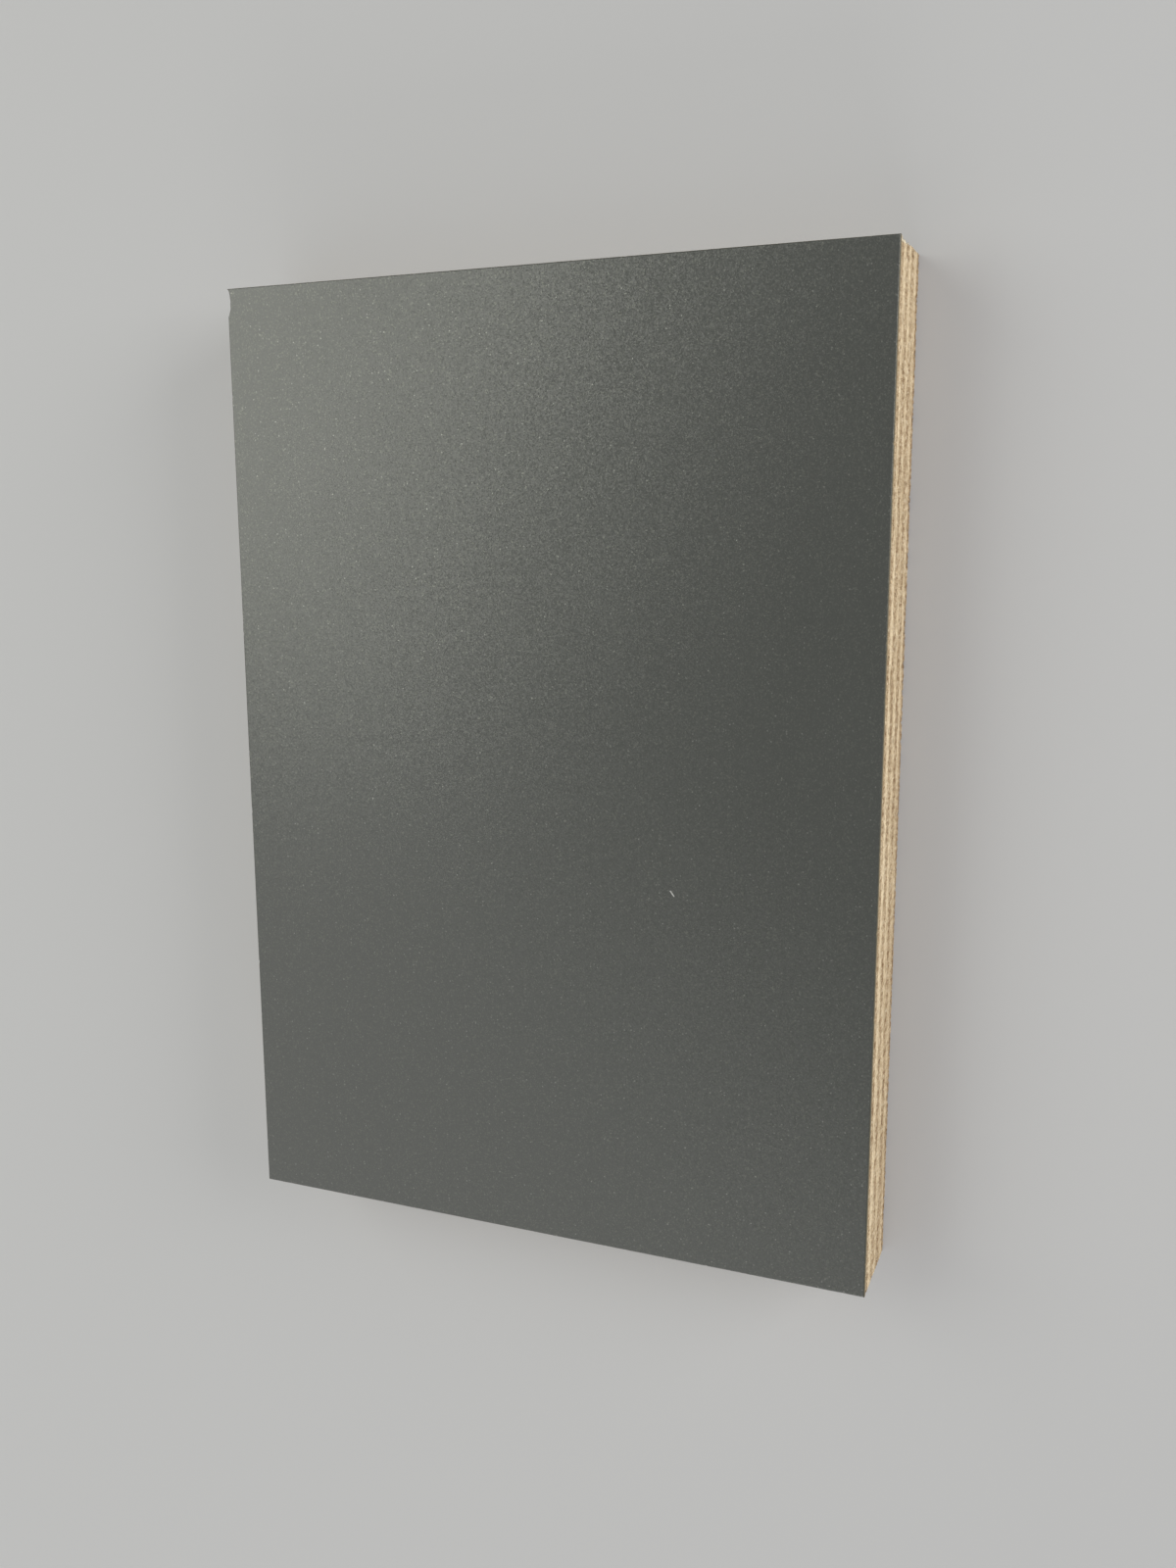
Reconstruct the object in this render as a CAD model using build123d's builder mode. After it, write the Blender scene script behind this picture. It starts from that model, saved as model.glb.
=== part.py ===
"""A cut piece of faced plywood: seven veneers laid crosswise under one grey laminate facing.

The piece lies flat with its finished face up. The origin is the middle of its underside,
X runs across the face, Y runs up it and Z points out of it. Lengths are in millimetres.
"""

import os

from build123d import *

os.makedirs("parts", exist_ok=True)

# Outline of the cut piece
sheet_width = 126.0
sheet_length = 180.0

# The laminate facing, one thin grey sheet with a filed upper edge
facing_thickness = 1.0
facing_bevel = 0.25

# The knock on the facing's far left corner, deepest a little way in from the far end
nick_length = 5.2
nick_depth = 0.7
nick_deepest_from_end = 2.34
nick_depth_at_end = 0.42

# The veneers from the facing down: the two outer ones are sanded thinner than the rest
outer_veneer = 2.0
inner_veneer = 2.64
veneers = {
    "ply_1_face": outer_veneer,
    "ply_2_crossband": inner_veneer,
    "ply_3_centre": inner_veneer,
    "ply_4_crossband": inner_veneer,
    "ply_5_centre": inner_veneer,
    "ply_6_crossband": inner_veneer,
    "ply_7_back": outer_veneer,
}
plywood_thickness = sum(veneers.values())

# The far right corner of the plywood, torn away on a slant below the facing
tear_down_edge = 0.9
tear_across_end = 5.0
tear_depth = 9.0

# Open checks in the right-hand edge: veneer, distance from the far end, length, height, depth
edge_checks = (
    ("ply_3_centre", 20.0, 2.2, 0.7, 3.0),
    ("ply_5_centre", 98.0, 1.9, 0.8, 4.0),
    ("ply_5_centre", 112.0, 2.6, 0.6, 3.0),
    ("ply_5_centre", 145.0, 3.2, 0.7, 5.0),
    ("ply_3_centre", 139.0, 2.4, 0.6, 3.0),
)

right = sheet_width / 2
far = sheet_length / 2


def torn_corner_plane():
    """The slanting plane that the torn corner follows, facing away from the wood that is left."""
    down_the_edge = Vector(right, far - tear_down_edge, plywood_thickness)
    across_the_end = Vector(right - tear_across_end, far, plywood_thickness)
    down_the_corner = Vector(right, far, plywood_thickness - tear_depth)
    outward = (across_the_end - down_the_edge).cross(down_the_corner - down_the_edge)
    if outward.X < 0:
        outward = outward * -1
    return Plane(origin=down_the_edge, z_dir=outward)


def veneer(name, underside, thickness):
    """One veneer, with the torn corner and any open checks that reach it."""
    with BuildPart() as ply:
        with BuildSketch(Plane.XY.offset(underside)):
            Rectangle(sheet_width, sheet_length)
        extrude(amount=thickness)
        split(bisect_by=torn_corner_plane(), keep=Keep.BOTTOM)
        for in_veneer, from_far_end, length, height, depth in edge_checks:
            if in_veneer != name:
                continue
            middle = (right, far - from_far_end, underside + thickness / 2)
            with BuildSketch(Plane(origin=middle, x_dir=(0, 1, 0), z_dir=(1, 0, 0))):
                SlotOverall(length, height)
            extrude(amount=-depth, mode=Mode.SUBTRACT)
    ply.part.label = name
    return ply


# The veneers, from the facing down to the back
veneer_top = plywood_thickness
for ply_name, ply_thickness in veneers.items():
    made = veneer(ply_name, veneer_top - ply_thickness, ply_thickness)
    export_step(made.part, f"parts/{ply_name}.step")
    veneer_top -= ply_thickness

# The facing: its outline carries the nick, and its upper edge is bevelled all round
with BuildPart() as facing:
    with BuildSketch(Plane.XY.offset(plywood_thickness)):
        Rectangle(sheet_width, sheet_length)
        with BuildLine():
            nick_start = (-right, far - nick_length)
            nick_deepest = (-right + nick_depth, far - nick_deepest_from_end)
            nick_end = (-right + nick_depth_at_end, far)
            ThreePointArc(nick_start, nick_deepest, nick_end)
            Polyline(nick_end, (-right, far), nick_start)
        make_face(mode=Mode.SUBTRACT)
    extrude(amount=facing_thickness)
    upper_face = facing.faces().sort_by(Axis.Z)[-1]
    chamfer(upper_face.edges(), length=facing_bevel)
facing.part.label = "facing"
export_step(facing.part, "parts/facing.step")
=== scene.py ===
"""The looks of a cut piece of faced plywood that lies flat with its grey face up."""

import math

import bpy
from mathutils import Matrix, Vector


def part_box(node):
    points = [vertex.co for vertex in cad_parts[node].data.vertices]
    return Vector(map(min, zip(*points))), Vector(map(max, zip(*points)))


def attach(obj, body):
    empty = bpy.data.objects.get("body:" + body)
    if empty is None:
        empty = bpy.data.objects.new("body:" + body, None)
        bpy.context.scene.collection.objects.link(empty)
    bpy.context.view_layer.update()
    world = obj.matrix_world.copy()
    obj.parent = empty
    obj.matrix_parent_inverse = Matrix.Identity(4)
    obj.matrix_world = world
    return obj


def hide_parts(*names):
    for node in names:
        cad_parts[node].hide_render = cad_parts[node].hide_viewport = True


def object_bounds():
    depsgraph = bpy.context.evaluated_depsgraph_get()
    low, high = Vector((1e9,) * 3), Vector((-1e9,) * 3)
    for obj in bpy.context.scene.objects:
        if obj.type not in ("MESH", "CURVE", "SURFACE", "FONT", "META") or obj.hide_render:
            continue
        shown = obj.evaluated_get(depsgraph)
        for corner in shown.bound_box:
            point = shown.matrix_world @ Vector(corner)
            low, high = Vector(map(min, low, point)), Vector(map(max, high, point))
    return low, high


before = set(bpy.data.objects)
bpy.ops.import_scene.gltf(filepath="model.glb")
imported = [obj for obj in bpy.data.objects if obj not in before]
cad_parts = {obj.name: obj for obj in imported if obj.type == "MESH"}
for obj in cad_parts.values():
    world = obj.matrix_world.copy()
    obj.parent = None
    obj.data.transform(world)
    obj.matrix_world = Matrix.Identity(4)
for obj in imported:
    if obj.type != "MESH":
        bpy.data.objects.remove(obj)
cad_low, cad_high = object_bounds()


# The seven veneers, from the back up to the face. Each is a sheet peeled from a log of pale
# tropical hardwood. They are glued with their grain crosswise and the stack is sawn to size, so
# every edge shows torn end grain and smoother side grain in turn.

# The sheet's sizes are written in mm, and its meshes are made in metres
MM = 0.001


class Wire:
    """A socket of a shader or geometry tree. Arithmetic on it adds Math nodes to that tree."""

    def __init__(self, tree, socket=None):
        self.tree = tree
        self.socket = socket

    def node(self, kind, settings=None, inputs=None, output=0):
        """Adds any node and returns one of its outputs: settings go in before the inputs."""
        made = self.tree.nodes.new(kind)
        for name, value in (settings or {}).items():
            setattr(made, name, value)
        for name, value in (inputs or {}).items():
            if isinstance(value, Wire):
                self.tree.links.new(value.socket, made.inputs[name])
            else:
                made.inputs[name].default_value = value
        return Wire(self.tree, made.outputs[output])

    def other(self, name):
        """Another output of the node that this wire comes from."""
        return Wire(self.tree, self.socket.node.outputs[name])

    def maths(self, operation, *values):
        return self.node("ShaderNodeMath", {"operation": operation}, dict(enumerate(values)))

    def vector(self, operation, *values, output=0):
        settings = {"operation": operation}
        return self.node("ShaderNodeVectorMath", settings, dict(enumerate(values)), output)

    def __add__(self, other):
        return self.maths("ADD", self, other)

    def __sub__(self, other):
        return self.maths("SUBTRACT", self, other)

    def __rsub__(self, other):
        return self.maths("SUBTRACT", other, self)

    def __mul__(self, other):
        return self.maths("MULTIPLY", self, other)

    def __truediv__(self, other):
        return self.maths("DIVIDE", self, other)

    def __neg__(self):
        return self.maths("MULTIPLY", self, -1.0)

    def __gt__(self, other):
        return self.maths("GREATER_THAN", self, other)

    def __lt__(self, other):
        return self.maths("LESS_THAN", self, other)

    __radd__ = __add__
    __rmul__ = __mul__

    def least(self, other):
        return self.maths("MINIMUM", self, other)

    def most(self, other):
        return self.maths("MAXIMUM", self, other)

    def size(self):
        """How far this value is from 0, whichever side it is on."""
        return self.maths("ABSOLUTE", self)

    def rise(self, low, high):
        """0 up to low and 1 from high on, with a smooth rise between."""
        ends = {"Value": self, "From Min": low, "From Max": high}
        return self.node("ShaderNodeMapRange", {"interpolation_type": "SMOOTHSTEP"}, ends)

    def stretched(self, x, y, z):
        """This vector with each part times its own number."""
        return self.vector("MULTIPLY", self, (x, y, z))

    def noise(self, scale=1.0, detail=2.0, roughness=0.5):
        """Fractal noise, about 0.5 on average, read at this vector."""
        values = {"Vector": self, "Scale": scale, "Detail": detail, "Roughness": roughness}
        return self.node("ShaderNodeTexNoise", inputs=values)

    def parts(self):
        """The x, y and z of this vector."""
        return [self.node("ShaderNodeSeparateXYZ", inputs={"Vector": self}, output=n) for n in range(3)]

    def joined(self, x, y, z):
        """The vector of these three values, in this wire's tree."""
        return self.node("ShaderNodeCombineXYZ", inputs={"X": x, "Y": y, "Z": z})

    def blend(self, share, first, second):
        """A colour from first to second, as share goes from 0 to 1, by Mix's colour sockets."""
        ends = {0: share, 6: first, 7: second}
        return self.node("ShaderNodeMix", {"data_type": "RGBA"}, ends, 2)


def rgb(red, green, blue):
    """An opaque colour."""
    return (red, green, blue, 1.0)


def new_tree(name, inputs):
    """An empty geometry tree with these inputs, and what it gives: the tree and its input wires."""
    tree = bpy.data.node_groups.new(name, "GeometryNodeTree")
    tree.interface.new_socket("Geometry", in_out="OUTPUT", socket_type="NodeSocketGeometry")
    given = tree.nodes.new("NodeGroupInput")
    wires = {}
    for label, kind in inputs.items():
        tree.interface.new_socket(label, in_out="INPUT", socket_type="NodeSocket" + kind)
        wires[label] = Wire(tree, given.outputs[label])
    return tree, wires


def close_tree(tree, shape, material):
    """Realizes the shape, gives it its material and sends it out of the tree."""
    plain = shape.node("GeometryNodeRealizeInstances", inputs={"Geometry": shape})
    coated = shape.node("GeometryNodeSetMaterial", inputs={"Geometry": plain, "Material": material})
    tree.links.new(coated.socket, tree.nodes.new("NodeGroupOutput").inputs["Geometry"])


def made_by(tree, name, values):
    """The plain mesh object that a geometry tree makes from these values of its inputs."""
    piece = bpy.data.objects.new(name, bpy.data.meshes.new(name))
    bpy.context.scene.collection.objects.link(piece)
    maker = piece.modifiers.new("maker", "NODES")
    maker.node_group = tree
    for item in tree.interface.items_tree:
        if item.item_type == "SOCKET" and item.in_out == "INPUT":
            maker[item.identifier] = values[item.name]
    graph = bpy.context.evaluated_depsgraph_get()
    mesh = bpy.data.meshes.new_from_object(
        piece.evaluated_get(graph), preserve_all_data_layers=True, depsgraph=graph
    )
    piece.modifiers.remove(maker)
    piece.data = mesh
    mesh.name = name
    return piece


def stored(shape, name, value, domain="POINT"):
    """The shape with a value kept on its points or faces, for its material to read."""
    settings = {"data_type": "FLOAT", "domain": domain}
    inputs = {"Geometry": shape, "Name": name, "Value": value}
    return shape.node("GeometryNodeStoreNamedAttribute", settings, inputs)


def sawn_block(wires, rows):
    """A closed block as a stack of rings round the sheet's outline, with a vertex each ring_pitch.

    Gives the shape, its side faces, x and y on the outline in mm, and the height from 0 to 1."""
    width, length = wires["Width"], wires["Length"]
    around = round(2 * (sheet_width + sheet_length) / ring_pitch)
    sizes = {"Vertices": around, "Side Segments": rows, "Radius": 1.0, "Depth": 2.0}
    block = width.node("GeometryNodeMeshCylinder", {"fill_type": "NGON"}, sizes)
    x, y, z = width.node("GeometryNodeInputPosition").parts()
    half_round = width + length
    along = width.maths("ARCTAN2", y, x) * (1 / math.pi) * half_round
    from_right = along.size()
    from_far = width.maths("WRAP", along - half_round * 0.5, half_round, -half_round).size()
    out_x = width * 0.5 - (from_right - length * 0.5).most(0.0).least(width)
    out_y = length * 0.5 - (from_far - width * 0.5).most(0.0).least(length)
    return block, block.other("Side"), out_x, out_y, z * 0.5 + 0.5


def cut_back(wires, x, y, recess):
    """x and y moved inside the outline by a recess."""
    reach_x = wires["Width"] * 0.5 - recess
    reach_y = wires["Length"] * 0.5 - recess
    return x.least(reach_x).most(-reach_x), y.least(reach_y).most(-reach_y)


def set_in_place(shape, sides, point):
    """Marks and smooths a block's sawn sides and moves its points to their places."""
    shape = stored(shape, "sawn", sides, "FACE")
    shape = shape.node("GeometryNodeSetPosition", inputs={"Geometry": shape, "Position": point})
    smooth = {"Geometry": shape, "Shade Smooth": sides}
    return shape.node("GeometryNodeSetShadeSmooth", inputs=smooth)


ring_pitch = 0.3
veneer_rows = 16
sheet_width = round((cad_high.x - cad_low.x) / MM, 3)
sheet_length = round((cad_high.y - cad_low.y) / MM, 3)
plywood_top = round(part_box("ply_1_face")[1].z / MM, 3)

# A point this near to a face of the block is on it
touching = 0.01

# How far the glue lines wander, how deep the saw leaves the wood, and how open a check stands
glue_wander = 1.1
pit_depth = 0.36
shred_depth = 0.3
streak_depth = 0.3
back_arris_chip = 0.2
check_half_height = 0.26

# The far right corner of the wood is torn away on a slant, and the break is ragged
tear_down_edge = 0.9
tear_across_end = 5.0
tear_depth = 9.0
tear_rags = 0.9
tear_point = Vector((sheet_width / 2, sheet_length / 2 - tear_down_edge, plywood_top))
tear_across = Vector((-tear_across_end, tear_down_edge, 0))
tear_down = Vector((0, tear_down_edge, -tear_depth))
tear_normal = tear_down.cross(tear_across).normalized()
tear_push = Vector((tear_normal.x, tear_normal.y, 0)).normalized()


def veneer_tree():
    """One sawn veneer: wandering glue lines, torn end grain, open checks and the torn corner."""
    inputs = dict.fromkeys(("Width", "Length", "Underside", "Thickness", "Stack Top"), "Float")
    inputs |= dict.fromkeys(("Glue Wander", "Pit Depth", "Shred Depth", "Streak Depth"), "Float")
    inputs |= dict.fromkeys(("Arris Chip", "Check Half Height", "Tear Rags"), "Float")
    inputs |= dict.fromkeys(("Grain Along", "Seed"), "Float")
    inputs |= dict.fromkeys(("Check 1", "Check 2", "Check 3"), "Vector")
    inputs["Material"] = "Material"
    tree, wires = new_tree("sawn_veneer", inputs)
    block, sides, x, y, height = sawn_block(wires, veneer_rows)
    # The rings lie closer together towards the two glue lines
    half_turn = height * math.pi
    level = 0.5 - half_turn.maths("COSINE", half_turn) * 0.5
    underside = wires["Underside"]
    top = underside + wires["Thickness"]

    def glue_line(nominal):
        inner = (nominal > touching) * (nominal < wires["Stack Top"] - touching)
        wander = nominal.joined(x * 0.06, y * 0.06, nominal * 3.7).noise(detail=6.0, roughness=0.66)
        return nominal + inner * (wander - 0.5) * wires["Glue Wander"]

    low = glue_line(underside)
    z = low + (glue_line(top) - low) * level
    seed = wires["Seed"] * 31.7
    place = x.joined(x + seed, y, z)
    on_long_edge = x.size() > wires["Width"] * 0.5 - touching
    along = wires["Grain Along"]
    end_grain = on_long_edge * (1 - along) + (1 - on_long_edge) * along
    side_grain = 1 - end_grain
    near_seam = (1 - level.least(1 - level) * wires["Thickness"] * 9).most(0.0)

    pits = place.stretched(1.5, 1.5, 0.8).noise(1.0, 5.0, 0.65).rise(0.53, 0.74)
    shreds = (place.noise(2.9, 3.0, 0.6) - 0.4).most(0.0)
    streaks = place.stretched(0.16, 0.16, 3.4).noise(1.0, 5.0, 0.65).rise(0.42, 0.75)
    wave = place.stretched(0.05, 0.05, 0.3).noise()
    relief = 0.005 + wave * 0.03
    relief += end_grain * (pits * wires["Pit Depth"] + shreds * wires["Shred Depth"])
    relief += side_grain * (streaks * wires["Streak Depth"] + shreds * 0.12)
    frayed = place.noise(1.1, 4.0, 0.65).rise(0.47, 0.62) * (1 - level).rise(0.25, 0.8)
    frayed = frayed * (end_grain * 0.7 + 0.3)
    relief += frayed * wires["Arris Chip"]
    on_right = x > wires["Width"] * 0.5 - touching
    for number in (1, 2, 3):
        # A check's x is its distance from the far end, its y half its length, its z its depth
        from_end, half_long, deep = wires[f"Check {number}"].parts()
        away = (y - (wires["Length"] * 0.5 - from_end)) / half_long
        above = (level - 0.5) * wires["Thickness"] + (shreds - 0.15) * 0.8
        above = above / wires["Check Half Height"]
        inside = (1.1 - away * away - above * above) * 1.3
        relief += on_right * inside.most(0.0).least(1.0) * deep

    x, y = cut_back(wires, x, y, relief)
    point = x.joined(x, y, z)
    from_tear = point.vector("SUBTRACT", point, tear_point)
    beyond = point.vector("DOT_PRODUCT", from_tear, tear_normal, output="Value")
    rags = (place.stretched(0.7, 1.6, 2.2).noise(1.0, 4.0, 0.65) - 0.35) * wires["Tear Rags"]
    torn = (beyond + rags * (beyond > -0.4)).most(0.0)
    pushed = {0: tear_push / tear_push.dot(tear_normal), "Scale": torn}
    moved = point.node("ShaderNodeVectorMath", {"operation": "SCALE"}, pushed)
    point = point.vector("SUBTRACT", point, moved).stretched(MM, MM, MM)

    traces = {"recess": relief, "seam": near_seam, "level": level, "end_grain": end_grain}
    traces |= {"torn": torn, "frayed": frayed * (wires["Arris Chip"] > 0.0)}
    shape = block
    for name, value in traces.items():
        shape = stored(shape, name, value)
    close_tree(tree, set_in_place(shape, sides, point), wires["Material"])
    return tree


def kept(start, name):
    """A value that the geometry tree stored, as the material reads it."""
    return start.node("ShaderNodeAttribute", {"attribute_name": name}, output="Fac")


def new_material(name):
    """A new material, a wire to grow its nodes from, and its Principled shader."""
    material = bpy.data.materials.new(name)
    material.use_nodes = True
    return material, Wire(material.node_tree), material.node_tree.nodes["Principled BSDF"]


def feed(shader, **links):
    """Links wires to the Principled shader's sockets: base_color to Base Color, and so on."""
    for name, wire in links.items():
        wire.tree.links.new(wire.socket, shader.inputs[name.replace("_", " ").title()])


# Sapwood and heartwood of the lighter veneers, which run along the sheet, and of the tan ones
pale_sapwood = rgb(0.78, 0.65, 0.445)
pale_heart = rgb(0.48, 0.36, 0.215)
tan_sapwood = rgb(0.68, 0.54, 0.355)
tan_heart = rgb(0.37, 0.26, 0.145)

# What the saw and the tear leave on any of them: dusty fibre ends and clean wood, and one brown for dark
# marks and for the painted shade in the pits
dusty_fibre = rgb(0.87, 0.77, 0.58)
mark_and_shade_brown = rgb(0.19, 0.105, 0.045)
fresh_wood = rgb(0.9, 0.83, 0.66)

# How far in from the right-hand edge its dark marks go
mark_depth = 1.5


def bare_wood(name, grain_along, seed, light, dark, marks):
    """Sawn and torn pale hardwood: the same grain runs through the solid, whichever face cuts it."""
    material, start, shader = new_material(name)
    place = start.node("ShaderNodeTexCoord", output="Object")
    turn = math.pi / 2 if grain_along else 0.0
    whole = {"Vector": place, "Scale": (1 / MM, 1 / MM, 1 / MM)}
    solid = start.node("ShaderNodeMapping", inputs=whole)
    whole |= {"Rotation": (0.0, 0.0, turn), "Location": (seed * 17.3, seed * 5.1, seed * 3.3)}
    grain = start.node("ShaderNodeMapping", inputs=whole)
    x, y, z = solid.parts()
    sawn = kept(start, "sawn")
    end_grain = kept(start, "end_grain") * sawn
    recess = kept(start, "recess") * sawn
    seam = kept(start, "seam") * sawn
    level = kept(start, "level")
    core = level * (1 - level) * 4
    torn = kept(start, "torn").rise(0.02, 0.3) * sawn

    drift = grain.stretched(0.012, 0.05, 0.2).noise(1.0, 2.0)
    layers = grain.stretched(0.015, 0.13, 1.5).noise(1.0, 3.0, 0.55)
    fibres = grain.stretched(0.07, 1.5, 2.6).noise(1.0, 5.0, 0.62)
    hairs = grain.stretched(0.35, 6.5, 2.4).noise(1.0, 3.0, 0.6)
    patches = solid.stretched(0.32, 0.32, 0.5).noise(1.0, 4.0, 0.6).rise(0.46, 0.62)
    flecks = solid.stretched(1.0, 1.1, 0.55).noise(1.0, 4.0, 0.72)
    cells = {"Vector": grain.stretched(0.16, 1.5, 1.5), "Scale": 1.0, "Randomness": 1.0}
    pore_field = start.node("ShaderNodeTexVoronoi", {"feature": "F1"}, cells)
    pores = (1 - pore_field.rise(0.1, 0.28)) * grain.stretched(0.03, 0.4, 0.8).noise().rise(0.38, 0.6)

    tone = (layers - 0.5) * 1.7 + (fibres - 0.5) * 2.1 + (drift - 0.5) * 0.9 + (hairs - 0.5) * 0.9 + 0.56
    tone = tone.most(0.0).least(1.0)
    colour = start.blend(tone, dark, light)
    # Darker in the pores and glue seams, in patches, flecks and crumbs, and lower down the edge; the
    # darkening of the pits and deep recesses is painted shade
    # pits marks where the sawn surface lies recessed: painted shade darkens it there, and it is a little
    # rougher
    pits = recess.rise(0.14, 0.5)
    dots = hairs.rise(0.36, 0.6)
    shade = pits * 0.3 + pores * 0.34 + seam * (0.1 + (fibres - 0.35) * 0.5)
    shade += end_grain * (dots * 0.16 + core * patches * (0.16 + dots * 0.36))
    shade += sawn * flecks.rise(0.5, 0.6) * (0.2 + dots * 0.5) * (0.36 + end_grain * 0.74)
    shade += sawn * (1 - z.rise(0.0, 11.0)) * 0.13
    crumbs = solid.stretched(1.6, 1.1, 1.3).noise(1.0, 4.0, 0.7).rise(0.49, 0.62)
    shade += (sawn - end_grain) * ((1 - fibres.rise(0.38, 0.5)) * 0.22 + crumbs * 0.34)
    # Painted shade in the deepest recesses, such as the open checks, and the dark fibre of the frayed
    # back arris
    shade += recess.rise(0.8, 2.0) * 0.4 + kept(start, "frayed") * sawn * 0.85
    at_right = x > sheet_width / 2 - mark_depth
    for mark_y, mark_z, half_long, half_high in marks:
        reach = ((y - mark_y) / half_long).size() + ((z - mark_z) / half_high).size()
        reach = reach + (fibres - 0.5) * 0.9
        shade += (1 - reach.rise(0.45, 1.15)) * at_right * 0.75
    pale = sawn * (1 - flecks.rise(0.36, 0.47)) * (0.34 + end_grain * 0.24)
    colour = start.blend(pale, colour, dusty_fibre)
    # One brown for the dark marks and for the painted shade
    colour = start.blend(shade.least(0.92), colour, mark_and_shade_brown)
    fresh = torn * (0.35 + fibres.rise(0.35, 0.6) * 0.6)
    colour = start.blend(fresh, colour, fresh_wood)

    height = fibres * 0.6 + hairs * (0.4 + end_grain * 0.5) - pores * 0.8
    bump = {"Height": height, "Distance": 0.2 * MM, "Strength": 0.9}
    feed(shader, base_color=colour, roughness=0.86 - hairs * 0.16 + pits * 0.08)
    feed(shader, normal=start.node("ShaderNodeBump", inputs=bump))
    shader.inputs["Specular IOR Level"].default_value = 0.3
    return material


# Dark marks in the right-hand edge: place up the sheet, height, half length and half height
edge_marks = {
    "ply_2_crossband": ((73.3, 14.6, 0.5, 0.5), (19.6, 14.9, 1.4, 0.5)),
    "ply_1_face": ((20.6, 16.2, 1.0, 0.5), (-43.4, 16.2, 1.0, 0.6), (-55.4, 15.9, 1.2, 0.6)),
    "ply_5_centre": ((-3.9, 7.0, 0.6, 0.5), (-16.0, 6.8, 0.5, 0.4)),
    "ply_7_back": ((-9.7, 1.2, 0.8, 0.5), (44.0, 1.0, 1.2, 0.4)),
}

# Open checks in the right-hand edge: distance from the far end, half length and depth
open_checks = {
    "ply_3_centre": ((20.0, 1.1, 3.0), (139.0, 1.2, 3.0)),
    "ply_5_centre": ((98.0, 0.95, 4.0), (112.0, 1.3, 3.0), (145.0, 1.6, 5.0)),
}
no_check = (-50.0, 1.0, 0.0)

# From the back up: CAD node, piece and whether its grain runs along the sheet
layup = (
    ("ply_7_back", "back_veneer", False),
    ("ply_6_crossband", "crossband_veneer_6", True),
    ("ply_5_centre", "centre_veneer_5", False),
    ("ply_4_crossband", "crossband_veneer_4", True),
    ("ply_3_centre", "centre_veneer_3", False),
    ("ply_2_crossband", "crossband_veneer_2", True),
    ("ply_1_face", "face_veneer", False),
)
sawn_veneer = veneer_tree()
veneers = []
for number, (node, piece_name, grain_along) in enumerate(layup):
    low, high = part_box(node)
    wood_colours = (pale_sapwood, pale_heart) if grain_along else (tan_sapwood, tan_heart)
    wood = bare_wood(
        piece_name + "_wood", grain_along, number, *wood_colours, edge_marks.get(node, ())
    )
    checks = list(open_checks.get(node, ())) + [no_check] * 3
    veneer = made_by(
        sawn_veneer,
        piece_name,
        {
            "Width": sheet_width,
            "Length": sheet_length,
            "Underside": round(low.z / MM, 3),
            "Thickness": round((high.z - low.z) / MM, 3),
            "Stack Top": plywood_top,
            "Glue Wander": glue_wander,
            "Pit Depth": pit_depth,
            "Shred Depth": shred_depth,
            "Streak Depth": streak_depth,
            "Arris Chip": back_arris_chip if node == "ply_7_back" else 0.0,
            "Check Half Height": check_half_height,
            "Tear Rags": tear_rags,
            "Grain Along": float(grain_along),
            "Seed": float(number),
            "Check 1": checks[0],
            "Check 2": checks[1],
            "Check 3": checks[2],
            "Material": wood,
        },
    )
    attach(veneer, "root")
    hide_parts(node)
    veneers.append(veneer)


# Torn fibres: the saw leaves short loose fibres all over the end grain, and the torn corner is
# left with longer pale splinters. They are the wood itself, so they keep inside its outline.

fibre_clearance = 0.02
fibre_curl = 0.45
heading_seed = 7
growth_seed = 11


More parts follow.
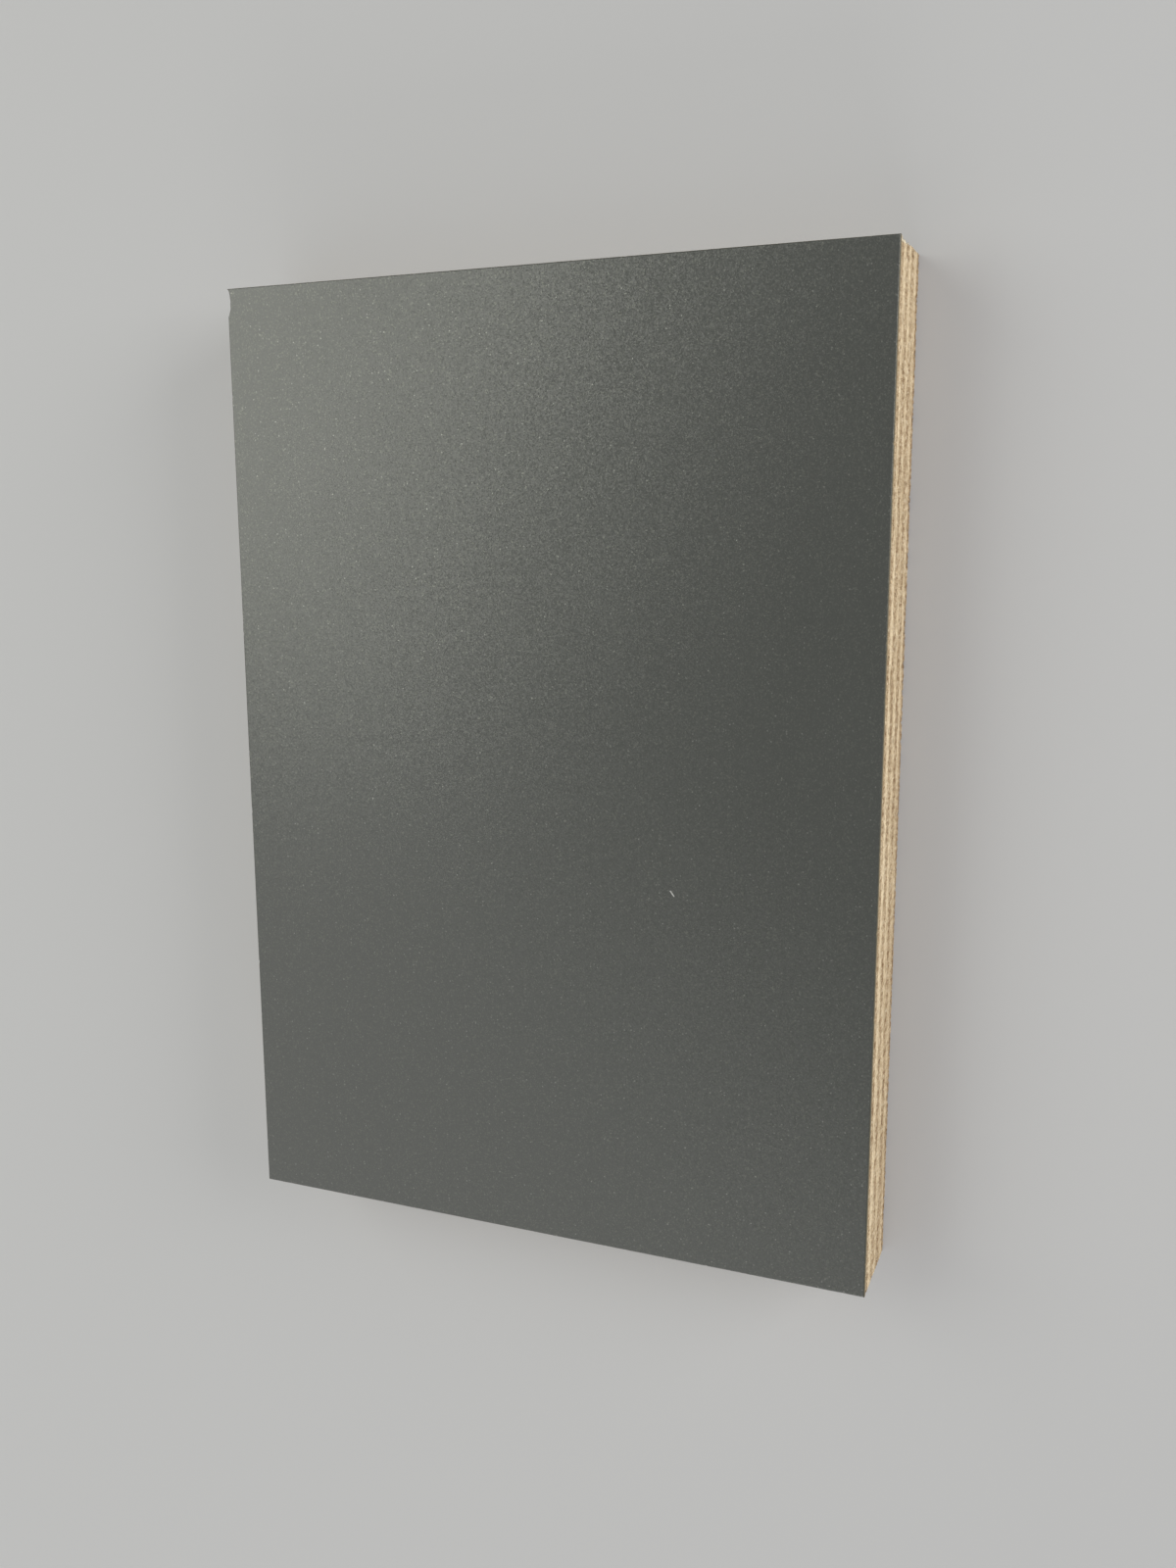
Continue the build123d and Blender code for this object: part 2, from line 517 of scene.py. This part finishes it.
def fibre_tree():
    """Fibres scattered over the veneers' sawn end grain, and splinters over the torn corner."""
    inputs = {"Veneers": "Collection", "Material": "Material"}
    inputs |= dict.fromkeys(("Width", "Length", "Height"), "Float")
    inputs |= dict.fromkeys(("Fibre Length", "Fibre Radius", "Fibres per mm2"), "Float")
    inputs |= dict.fromkeys(("Splinter Length", "Splinter Radius", "Splinters per mm2"), "Float")
    inputs["Seed"] = "Int"
    tree, wires = new_tree("torn_fibres", inputs)
    start = wires["Width"]
    stack = start.node("GeometryNodeCollectionInfo", inputs={"Collection": wires["Veneers"]})
    stack = start.node("GeometryNodeRealizeInstances", inputs={"Geometry": stack})

    def found(name):
        return start.node("GeometryNodeInputNamedAttribute", {"data_type": "FLOAT"}, {"Name": name})

    def tufts(label, per_mm2, where, lean, seed):
        sizes = {"Vertices": 3, "Side Segments": 3, "Radius Bottom": wires[label + " Radius"] * MM}
        sizes |= {"Radius Top": 0.0, "Depth": wires[label + " Length"] * MM}
        sliver = start.node("GeometryNodeMeshCone", {"fill_type": "NGON"}, sizes)
        method = {"distribute_method": "RANDOM"}
        spread = {"Mesh": stack, "Density": per_mm2 * where * (1 / MM) ** 2, "Seed": seed}
        points = start.node("GeometryNodeDistributePointsOnFaces", method, spread)
        chance = {0: (-1.0, -1.0, -1.0), 1: (1.0, 1.0, 1.0), "Seed": heading_seed}
        aside = start.node("FunctionNodeRandomValue", {"data_type": "FLOAT_VECTOR"}, chance)
        outward = points.other("Normal").stretched(lean, lean, lean)
        heading = start.vector("NORMALIZE", start.vector("ADD", aside, outward))
        turn = start.node("FunctionNodeAlignRotationToVector", {"axis": "Z"}, {"Vector": heading})
        lot = {2: 0.3, 3: 1.0, "Seed": growth_seed}
        growth = start.node("FunctionNodeRandomValue", {"data_type": "FLOAT"}, lot, 1)
        placed = {"Points": points, "Instance": sliver, "Rotation": turn, "Scale": growth}
        return start.node("GeometryNodeInstanceOnPoints", inputs=placed)

    rough = found("recess").rise(0.08, 0.35) + found("frayed") * 2.5 + 0.12
    sawn_end = found("sawn") * (found("end_grain") * 0.94 + 0.06) * rough
    torn_wood = found("sawn") * found("torn").rise(0.1, 0.3)
    fibres = tufts("Fibre", wires["Fibres per mm2"], sawn_end, 0.35, wires["Seed"])
    splinters = tufts("Splinter", wires["Splinters per mm2"], torn_wood, 0.8, wires["Seed"] + 1)
    both = start.node("GeometryNodeJoinGeometry", inputs={"Geometry": fibres})
    tree.links.new(splinters.socket, both.socket.node.inputs["Geometry"])
    loose = start.node("GeometryNodeRealizeInstances", inputs={"Geometry": both})

    point = start.node("GeometryNodeInputPosition").stretched(1 / MM, 1 / MM, 1 / MM)
    bends = {"Vector": point, "Scale": 1.4}
    curl = start.node("ShaderNodeTexNoise", inputs=bends, output="Color")
    curl = start.vector("SUBTRACT", curl, (0.5, 0.5, 0.5))
    curl = curl.stretched(fibre_curl, fibre_curl, fibre_curl)
    x, y, z = start.vector("ADD", point, curl).parts()
    half_width = wires["Width"] * 0.5 - fibre_clearance
    half_length = wires["Length"] * 0.5 - fibre_clearance
    x = x.least(half_width).most(-half_width)
    y = y.least(half_length).most(-half_length)
    z = z.least(wires["Height"] - fibre_clearance).most(fibre_clearance)
    point = x.joined(x, y, z).stretched(MM, MM, MM)
    loose = start.node("GeometryNodeSetPosition", inputs={"Geometry": loose, "Position": point})
    close_tree(tree, loose, wires["Material"])
    return tree


fibre_brown = rgb(0.3, 0.19, 0.09)
fibre_pale = rgb(0.74, 0.61, 0.42)
splinter_pale = rgb(0.86, 0.78, 0.6)


def loose_fibre():
    """Pale to brown fibre, browner by the back and palest on the torn corner."""
    material, start, shader = new_material("loose_fibre")
    place = start.node("ShaderNodeTexCoord", output="Object").stretched(1 / MM, 1 / MM, 1 / MM)
    x, y, z = place.parts()
    beside_tear = x > sheet_width / 2 - tear_across_end - 2
    near_tear = y.rise(sheet_length / 2 - 1.6, sheet_length / 2 - 0.6) * beside_tear
    off_the_back = 0.25 + z.rise(0.6, 2.8) * 0.75
    share = (place.noise(0.7, 3.0, 0.6).rise(0.36, 0.6) * off_the_back + near_tear).least(1.0)
    colour = start.blend(share, fibre_brown, fibre_pale)
    colour = start.blend(near_tear * 0.7, colour, splinter_pale)
    feed(shader, base_color=colour)
    shader.inputs["Roughness"].default_value = 0.8
    shader.inputs["Specular IOR Level"].default_value = 0.3
    return material


veneer_stack = bpy.data.collections.new("veneer_stack")
for veneer in veneers:
    veneer_stack.objects.link(veneer)
fibres = made_by(
    fibre_tree(),
    "torn_fibres",
    {
        "Veneers": veneer_stack,
        "Material": loose_fibre(),
        "Width": sheet_width,
        "Length": sheet_length,
        "Height": plywood_top,
        "Fibre Length": 1.3,
        "Fibre Radius": 0.06,
        "Fibres per mm2": 5.0,
        "Splinter Length": 2.0,
        "Splinter Radius": 0.15,
        "Splinters per mm2": 6.0,
        "Seed": 4,
    },
)
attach(fibres, "root")


# The grey facing: satin laminate with a fine pearly grain, pressed on a core of brown paper, glued
# over the whole face and sawn with it. Its upper edge is eased with a file, and its far left
# corner has been knocked.

facing_low, facing_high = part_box("facing")
facing_thickness = round((facing_high.z - facing_low.z) / MM, 3)
facing_underside = round(facing_low.z / MM, 3)
eased_edge = 0.25
facing_rows = 10
nick_length = 4.5
nick_depth = 0.6
saw_chip = 0.14

# The knock runs out at this many nick lengths from the corner
nick_end = 1.12


def facing_tree():
    """The laminate sheet: sawn edge with small chips, a rounded arris and the knocked corner."""
    inputs = dict.fromkeys(("Width", "Length", "Underside", "Thickness"), "Float")
    inputs |= dict.fromkeys(("Eased Edge", "Saw Chip", "Nick Length", "Nick Depth"), "Float")
    inputs["Material"] = "Material"
    tree, wires = new_tree("laminate_sheet", inputs)
    block, sides, x, y, height = sawn_block(wires, facing_rows)
    ease = wires["Eased Edge"]
    turn = (height * 2 - 1).most(0.0) * (math.pi / 2)
    inset = ease * (1 - turn.maths("COSINE", turn))
    upright = (height * 2).least(1.0) * (wires["Thickness"] - ease)
    z = wires["Underside"] + upright + ease * turn.maths("SINE", turn)

    place = x.joined(x, y, z)
    chips = place.stretched(1, 1, 0.4).noise(0.9, 3.0).rise(0.6, 0.8) * wires["Saw Chip"]
    saw_line = place.noise(0.25, 2.0) * 0.05
    at_left = x < touching - wires["Width"] * 0.5
    share = (wires["Length"] * 0.5 - y) / wires["Nick Length"]
    bowl = (4 * share * (nick_end - share)).most(0.0)
    bowl = (bowl.maths("POWER", bowl, 0.7) * 0.86).least(1.0)
    rough = 0.72 + place.noise(1.3, 3.0) * 0.5
    nick = at_left * (share < nick_end) * bowl * rough * wires["Nick Depth"]
    x, y = cut_back(wires, x, y, inset + chips + saw_line + nick)
    point = x.joined(x, y, z).stretched(MM, MM, MM)
    close_tree(tree, set_in_place(block, sides, point), wires["Material"])
    return tree


# The greys of the pearly grain and what shows in it, and the brown paper of the cut edge
low_grey = rgb(0.033, 0.0355, 0.031)
high_grey = rgb(0.042, 0.0455, 0.0395)
mica_grey = rgb(0.1, 0.104, 0.092)
glint_grey = rgb(0.18, 0.184, 0.17)
scratch_white = rgb(0.6, 0.6, 0.58)
dark_paper = rgb(0.2, 0.165, 0.11)
light_paper = rgb(0.32, 0.27, 0.18)
# The darkest paper, by the grey layer and on the arris, holds painted shade besides its own dark tone
dark_edge_with_painted_shade = rgb(0.1, 0.094, 0.07)

# How close the flakes and the glints lie, and how far a flake leans off the level
flakes_per_mm = 4.2
glints_per_mm = 1.5
flake_lean = 0.1

# A short pale scratch right of the middle of the face, and the way across it
scratch_place = (26.4, -19.2)
scratch_side = (0.8, 0.6)


def send_mix(share, first, second, end):
    """Sends a mix of two shaders to the output of a material or of the world."""
    mixed = share.node("ShaderNodeMixShader", inputs={0: share, 1: first, 2: second})
    share.tree.links.new(mixed.socket, share.tree.nodes[end].inputs["Surface"])


def satin_laminate():
    """Grey laminate: pearly flakes that each lean their own way, some of them bright, on paper."""
    material, start, shader = new_material("satin_grey_laminate")
    place = start.node("ShaderNodeTexCoord", output="Object")
    spot = place.stretched(1 / MM, 1 / MM, 1 / MM)
    above_glue = spot.parts()[2] - facing_underside
    dull = spot.noise(0.03, 3.0, 0.55)
    pearl = spot.noise(2.6, 2.0, 0.7)
    cells = {"Vector": spot, "Scale": flakes_per_mm}
    flakes = start.node("ShaderNodeTexVoronoi", {"feature": "F1"}, cells, "Color")
    flake_tone, _, flake_shine = flakes.parts()
    lean = start.vector("SUBTRACT", flakes, (0.5, 0.5, 0.5)).stretched(flake_lean, flake_lean, 0.0)
    upright = start.node("ShaderNodeNewGeometry", output="Normal")
    facets = start.vector("NORMALIZE", start.vector("ADD", upright, lean))
    cells = {"Vector": spot, "Scale": glints_per_mm}
    from_glint = start.node("ShaderNodeTexVoronoi", {"feature": "F1"}, cells)
    rare = from_glint.other("Color").parts()[0].rise(0.5, 1.0)
    glints = (1 - from_glint.rise(0.12, 0.26)) * rare * rare * rare

    shade = flake_tone * 0.7 + pearl.rise(0.3, 0.7) * 0.3
    grey = start.blend(shade, low_grey, high_grey)
    mica = flake_shine.rise(0.72, 1.0)
    grey = start.blend(mica, grey, mica_grey)
    grey = start.blend(glints, grey, glint_grey)
    facing_top = facing_underside + facing_thickness
    from_scratch = spot.vector("SUBTRACT", spot, (*scratch_place, facing_top))
    across = from_scratch.vector("DOT_PRODUCT", from_scratch, (*scratch_side, 0.0), output="Value")
    reach = from_scratch.vector("LENGTH", from_scratch, output="Value")
    scratch = (1 - across.size().rise(0.05, 0.15)) * (1 - reach.rise(0.5, 0.75))
    grey = start.blend(scratch * 0.75, grey, scratch_white)

    bump = {"Height": pearl * 0.2, "Distance": 0.09 * MM, "Strength": 1.0, "Normal": facets}
    feed(shader, base_color=grey, roughness=0.26 + dull * 0.08)
    feed(shader, metallic=(mica * 0.62).most(glints * 0.9))
    feed(shader, normal=start.node("ShaderNodeBump", inputs=bump))
    shader.inputs["Specular IOR Level"].default_value = 0.7

    # The cut edge, up to the top of the arris, is bare paper, darker near the grey layer: partly the
    # edge's own dark tone, partly painted shade against the edge lamp's highlight on the arris
    cut = kept(start, "sawn") * (1 - above_glue.rise(facing_thickness - 0.1, facing_thickness - 0.01))
    core = 1 - above_glue.rise(facing_thickness - 0.5, facing_thickness - 0.2)
    paper = start.blend(pearl, dark_paper, light_paper)
    paper = start.blend(core, dark_edge_with_painted_shade, paper)
    finish = {"Base Color": paper, "Roughness": 0.9, "Specular IOR Level": 0.05}
    cut_paper = start.node("ShaderNodeBsdfPrincipled", inputs=finish)
    send_mix(cut, Wire(start.tree, shader.outputs[0]), cut_paper, "Material Output")
    return material


facing = made_by(
    facing_tree(),
    "laminate_facing",
    {
        "Width": sheet_width,
        "Length": sheet_length,
        "Underside": facing_underside,
        "Thickness": facing_thickness,
        "Eased Edge": eased_edge,
        "Saw Chip": saw_chip,
        "Nick Length": nick_length,
        "Nick Depth": nick_depth,
        "Material": satin_laminate(),
    },
)
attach(facing, "root")
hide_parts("facing")


# What the sheet lies on: a wide, plain floor with pale matt paint. Far from the sheet it takes the
# backdrop's even tone, so that no edge of it shows.

half_floor = 3.0
backdrop_tone = rgb(0.5, 0.5, 0.505)
even_by_sheet = 0.3
paint_to = 0.25
even_from = 0.65
floor_mesh = bpy.data.meshes.new("floor")
floor_corners = [(-half_floor, -half_floor, 0), (half_floor, -half_floor, 0)]
floor_corners += [(half_floor, half_floor, 0), (-half_floor, half_floor, 0)]
floor_mesh.from_pydata(floor_corners, [], [(0, 1, 2, 3)])
floor = bpy.data.objects.new("floor", floor_mesh)
bpy.context.scene.collection.objects.link(floor)


def shown_rays(start):
    """1 for what the camera, a gloss or a clear part shows, and 0 for light that falls on things."""
    path = start.node("ShaderNodeLightPath")
    seen = path.other("Is Camera Ray") + path.other("Is Glossy Ray")
    return (seen + path.other("Is Transmission Ray")).least(1.0)


def pale_floor():
    """Matt paint that shows the sheet's shadow, with some of the backdrop's even tone in it."""
    material, start, shader = new_material("pale_floor")
    shader.inputs["Base Color"].default_value = backdrop_tone
    shader.inputs["Roughness"].default_value = 0.9
    shader.inputs["Specular IOR Level"].default_value = 0.2
    place = start.node("ShaderNodeTexCoord", output="Object")
    far_out = place.vector("LENGTH", place, output="Value").rise(paint_to, even_from)
    even = start.node("ShaderNodeEmission", inputs={"Color": backdrop_tone, "Strength": 1.0})
    share = (even_by_sheet + far_out * (1 - even_by_sheet)) * shown_rays(start)
    send_mix(share, Wire(start.tree, shader.outputs[0]), even, "Material Output")
    return material


floor_mesh.materials.append(pale_floor())


# The studio: even light all round, a key box beyond the far left corner, a weaker one off the
# near left corner, and two low ones that light the sawn right-hand edge and the near end.

world = bpy.data.worlds.new("studio")
world.use_nodes = True
sky = Wire(world.node_tree)
room_light = sky.node("ShaderNodeBackground", inputs={"Color": rgb(1.0, 1.0, 1.0), "Strength": 0.2})
room_tone = sky.node("ShaderNodeBackground", inputs={"Color": backdrop_tone, "Strength": 1.0})
send_mix(shown_rays(sky), room_light, room_tone, "World Output")
bpy.context.scene.world = world


def soft_box(name, place, aim, side, power, colour):
    """A square area lamp at a place, turned to shine at a point."""
    data = bpy.data.lights.new(name, "AREA")
    data.shape = "SQUARE"
    data.size = side
    data.energy = power
    data.color = colour
    lamp = bpy.data.objects.new(name, data)
    lamp.location = place
    lamp.rotation_euler = (Vector(aim) - Vector(place)).to_track_quat("-Z", "Y").to_euler()
    bpy.context.scene.collection.objects.link(lamp)


soft_box("key_box", (-0.585, 0.263, 0.62), (0, 0, 0), 0.7, 4.6, (0.99, 1.0, 0.91))
soft_box("near_box", (-0.455, -0.582, 0.6), (0, 0, 0), 0.94, 2.3, (1.0, 1.0, 0.97))
soft_box("edge_box", (0.75, 0.28, 0.28), (0.06, 0, 0), 0.5, 5.9, (1.0, 0.99, 0.975))
soft_box("end_box", (0.1, -0.8, 0.2), (0, -0.09, 0), 0.5, 3.0, (1.0, 0.995, 0.985))


# The camera: the photo's angle to the sheet, which here lies flat, so it looks down on it. Its
# place and its lens come from a fit to the corners of the face and of the right-hand edge.

camera_place = (0.1029, 0.0441, 0.2469)
camera_turn = (-10.28, 22.02, -0.22)
focal_length = 31.84

camera_data = bpy.data.cameras.new("camera")
camera_data.lens = focal_length
camera_data.sensor_width = 36.0
camera_data.clip_start = 0.005
camera = bpy.data.objects.new("camera", camera_data)
camera.location = camera_place
camera.rotation_euler = [math.radians(angle) for angle in camera_turn]
bpy.context.scene.collection.objects.link(camera)
bpy.context.scene.camera = camera

bpy.context.scene.view_settings.view_transform = "Standard"
